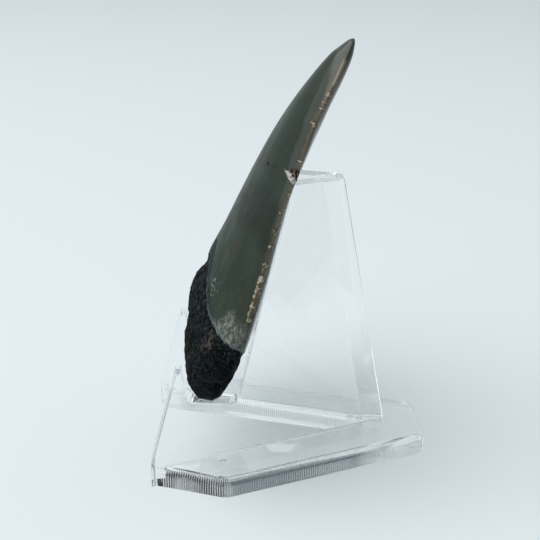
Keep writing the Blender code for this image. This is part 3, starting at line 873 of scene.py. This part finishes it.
# Wear along the cutting edges, thickest in the right edge's lower half
edge_grain = sum_of("MULTIPLY", grain(where, 700.0, 2.0), ramp(height, 0.050, 0.062, -0.0008, -0.0013))
edge_zone = ramp(sum_of("ADD", from_edge, edge_grain), 0.0001, -0.0002)
edge_heights = sum_of("MULTIPLY", ramp(above_root, 0.006, 0.010), ramp(height, 0.0865, 0.0805))
edge_zone = sum_of("MULTIPLY", edge_zone, edge_heights)
colour = blend(sum_of("MULTIPLY", edge_zone, 0.8), colour, EDGE_BROWN)
worn_most = sum_of("MULTIPLY", ramp(height, 0.0255, 0.0290), ramp(height, 0.0420, 0.0350))
worn_line = sum_of("MULTIPLY", grain(where, 1500.0, 2.0, seed=8.0), -0.0012)
worn_line = sum_of("ADD", sum_of("ADD", from_edge, worn_line), sum_of("MULTIPLY", worn_most, -0.00095))
worn_line = sum_of("MULTIPLY", ramp(worn_line, -0.00066, -0.00076), ramp(from_edge, 0.00030, 0.00050))
chip_grain = sum_of("MULTIPLY", sum_of("SUBTRACT", grain(where, 2600.0, 2.0, seed=18.0), 0.5), 1.6)
fresh = sum_of("MAXIMUM", ramp(sum_of("ADD", chipped, chip_grain), 0.40, 0.75),
               sum_of("MULTIPLY", worn_line, edge_heights))
chip_colour = blend(ramp(grain(where, 1400.0, 2.0, seed=5.0), 0.40, 0.62), CHIP_BROWN, CHIP_BEIGE)
colour = blend(fresh, colour, chip_colour)
tan_line = sum_of("MULTIPLY", ramp(height, 0.0780, 0.0790), ramp(height, 0.0850, 0.0836))
tan_line = sum_of("MULTIPLY", tan_line, ramp(from_edge, 0.00032, 0.00018))
colour = blend(sum_of("MULTIPLY", tan_line, 0.6), colour, TIP_TAN)
flake_colour = blend(ramp(grain(where, 1600.0, 2.0, seed=9.0), 0.44, 0.62), FLAKE_BLACK, FLAKE_BROWN)
flake_grain = sum_of("MULTIPLY", sum_of("SUBTRACT", grain(where, 2200.0, 2.0), 0.5), 2.0)
pale_side = ramp(sum_of("ADD", attribute("flake_pale"), flake_grain), 0.30, 0.55)
flake_colour = blend(pale_side, flake_colour, FLAKE_WHITE)
flaked = attribute("flaked")
colour = blend(flaked, colour, flake_colour)
fresh = sum_of("MAXIMUM", fresh, flaked)

# The short crack beside the pinhole, and the two holes, with painted shade inside them
crack = sum_of("MULTIPLY", cut_line(where, CRACK_START, CRACK_END, CRACK_WIDTH), inner_face)
colour = blend(sum_of("MULTIPLY", crack, 0.85), colour, CRACK_BLACK)
hole_rim = near(where, EDGE_HOLE_RIM, 0.0006, 0.0003)
colour = blend(sum_of("MULTIPLY", hole_rim, 0.6), colour, HOLE_BEIGE)
# painted shade: the insides of the two holes are coloured near-black
hole_shade = sum_of("MAXIMUM", near(where, (PINHOLE[0], 0.0, PINHOLE[1]), 0.0007, 0.0004),
              near(where, (EDGE_HOLE[0], 0.0, EDGE_HOLE[1]), 0.0005, 0.0003))
hole_shade = sum_of("MULTIPLY", hole_shade, inner_face)
colour = blend(hole_shade, colour, HOLE_BLACK)

# Root colours
root_patches = ramp(grain(where, 160.0, 3.0), 0.35, 0.7)
root_colour = blend(root_patches, ROOT_BLACK, ROOT_GREY)
specks = ramp(grain(where, 1300.0, 2.0, 0.8, stretch=(0.4, 1.0, 1.0), seed=2.0), 0.52, 0.62)
upper = ramp(height, 0.013, 0.020, 0.10, 0.55)
root_colour = blend(sum_of("MULTIPLY", specks, upper), root_colour, SPECK_GREY)
# painted highlight: pale dots standing in for glints of light off the root's grains
glints = ramp(grain(where, 2300.0, 1.0, stretch=(0.6, 1.0, 1.0), seed=12.0), 0.66, 0.74)
root_colour = blend(sum_of("MULTIPLY", glints, 0.5), root_colour, GLINT_GREY)
pink = sum_of("MULTIPLY", ramp(grain(where, 900.0, 2.0, seed=11.0), 0.42, 0.60),
              near(where, PINK_PATCH, 0.0034, 0.0008, 0.0040))
root_colour = blend(sum_of("MULTIPLY", pink, 0.6), root_colour, ROOT_PINK)
feed(shader.inputs["Base Color"], blend(enamel, root_colour, colour))

# Gloss: satin on the enamel, dull on the root, in the chips and at the scratched foot
enamel_rough = sum_of("ADD", ramp(grain(where, 240.0, 3.0), 0.3, 0.7, 0.38, 0.52),
                      sum_of("MULTIPLY", streaks, 0.12))
enamel_rough = sum_of("ADD", enamel_rough, sum_of("MULTIPLY", pale_foot, 0.2))
enamel_rough = sum_of("ADD", enamel_rough, sum_of("MULTIPLY", fresh, 0.3))
enamel_rough = sum_of("ADD", enamel_rough, sum_of("MULTIPLY", band, 0.2))
rough = nodes.new("ShaderNodeMix")
rough.data_type = "FLOAT"
feed(rough.inputs[0], enamel)
feed(rough.inputs[2], ramp(grain(where, 800.0, 2.0), 0.3, 0.7, 0.55, 0.85))
feed(rough.inputs[3], enamel_rough)
feed(shader.inputs["Roughness"], rough.outputs[0])
shader.inputs["Metallic"].default_value = 0.0
shader.inputs["Specular IOR Level"].default_value = 0.04
coat = ramp(above_root, 0.004, 0.040, 0.09, 0.36)
coat = sum_of("MAXIMUM", coat, ramp(axes.outputs["Y"], -0.0010, 0.0004, 0.0, 1.0))
dull = sum_of("MAXIMUM", fresh, sum_of("MULTIPLY", band, 0.1))
feed(shader.inputs["Coat Weight"], sum_of("MULTIPLY", enamel, sum_of("SUBTRACT", coat, dull, clamp=True)))
shader.inputs["Coat Roughness"].default_value = 0.11
shader.inputs["Coat IOR"].default_value = 1.5

# Relief too fine for the mesh: grains and pores on the root, scratches along the enamel
root_relief = sum_of("ADD", sum_of("MULTIPLY", cells(where, 1300.0, stretch=(0.4, 1.0, 1.0)), 1.1),
                     grain(where, 1300.0, 2.0, 0.7, stretch=(0.4, 1.0, 1.0)))
fine_lines = sum_of("MULTIPLY", grain(where, 1600.0, 2.0, stretch=(1.0, 1.0, 0.06)), 0.10)
enamel_relief = sum_of("ADD", fine_lines, sum_of("MULTIPLY", grain(where, 500.0, 2.0), 0.07))
enamel_relief = sum_of("ADD", enamel_relief, sum_of("MULTIPLY", pale_foot, -0.25))
relief = nodes.new("ShaderNodeMix")
relief.data_type = "FLOAT"
feed(relief.inputs[0], enamel)
feed(relief.inputs[2], root_relief)
feed(relief.inputs[3], enamel_relief)
bump = nodes.new("ShaderNodeBump")
bump.inputs["Strength"].default_value = 1.0
bump.inputs["Distance"].default_value = 0.0004
feed(bump.inputs["Height"], relief.outputs[0])
feed(shader.inputs["Normal"], bump.outputs["Normal"])
tooth_mesh.materials.append(fossil)
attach(tooth, "root")
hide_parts("fossil_tooth")

# The floor, the light and the camera
# A plain pale floor under soft, even studio light from above, a little brighter from the left.
FLOOR_RADIUS = 30.0
FLOOR_GAP = 0.00015
floor_mesh = bpy.data.meshes.new("floor")
floor_mesh.from_pydata([(x * FLOOR_RADIUS, y * FLOOR_RADIUS, -FLOOR_GAP)
                        for x, y in ((-1, -1), (1, -1), (1, 1), (-1, 1))], [], [(0, 1, 2, 3)])
floor = bpy.data.objects.new("floor", floor_mesh)
bpy.context.scene.collection.objects.link(floor)
pale = bpy.data.materials.new("pale_floor")
pale.use_nodes = True
pale_shader = pale.node_tree.nodes["Principled BSDF"]
pale_shader.inputs["Base Color"].default_value = (0.76, 0.80, 0.815, 1.0)
pale_shader.inputs["Roughness"].default_value = 0.8
pale_shader.inputs["Specular IOR Level"].default_value = 0.0
floor_mesh.materials.append(pale)

world = bpy.data.worlds.new("studio")
world.use_nodes = True
air = world.node_tree.nodes["Background"]
sky = world.node_tree.nodes.new("ShaderNodeTexCoord")
bright_side = world.node_tree.nodes.new("ShaderNodeVectorMath")
bright_side.operation = "DOT_PRODUCT"
bright_side.inputs[1].default_value = (-0.85, -0.20, 0.35)
fade = world.node_tree.nodes.new("ShaderNodeMapRange")
fade.interpolation_type = "SMOOTHSTEP"
fade.inputs["From Min"].default_value = -0.80
fade.inputs["From Max"].default_value = 0.80
fade.inputs["To Min"].default_value = 0.12
fade.inputs["To Max"].default_value = 0.78
world.node_tree.links.new(sky.outputs["Generated"], bright_side.inputs[0])
world.node_tree.links.new(bright_side.outputs["Value"], fade.inputs["Value"])
world.node_tree.links.new(fade.outputs["Result"], air.inputs["Strength"])
air.inputs["Color"].default_value = (0.86, 0.93, 0.96, 1.0)
bpy.context.scene.world = world


def soft_light(name, place, size, power):
    """A large square light that faces the object."""
    data = bpy.data.lights.new(name, "AREA")
    data.size = size
    data.energy = power
    light = bpy.data.objects.new(name, data)
    light.location = place
    aim = Vector((0.0, 0.0, 0.05)) - Vector(place)
    light.rotation_euler = aim.to_track_quat("-Z", "Y").to_euler()
    bpy.context.scene.collection.objects.link(light)


soft_light("overhead", (0.48, -0.82, 1.62), 2.4, 32.0)
soft_light("left", (0.0, -0.75, 0.45), 0.8, 0.4)

camera_data = bpy.data.cameras.new("camera")
camera_data.lens = 73.333
camera_data.sensor_width = 36.0
camera_data.clip_start = 0.01
camera = bpy.data.objects.new("camera", camera_data)
camera.location = (0.25453, -0.01335, 0.14124)
camera.rotation_euler = (radians(69.542), radians(0.100), radians(88.021))
bpy.context.scene.collection.objects.link(camera)
bpy.context.scene.camera = camera
bpy.context.scene.view_settings.view_transform = "Standard"
# Light is followed through the many reflections inside the clear walls
bpy.context.scene.cycles.max_bounces = 40
bpy.context.scene.cycles.glossy_bounces = 32
bpy.context.scene.cycles.transmission_bounces = 32
bpy.context.scene.cycles.transparent_max_bounces = 32

bpy.context.view_layer.update()
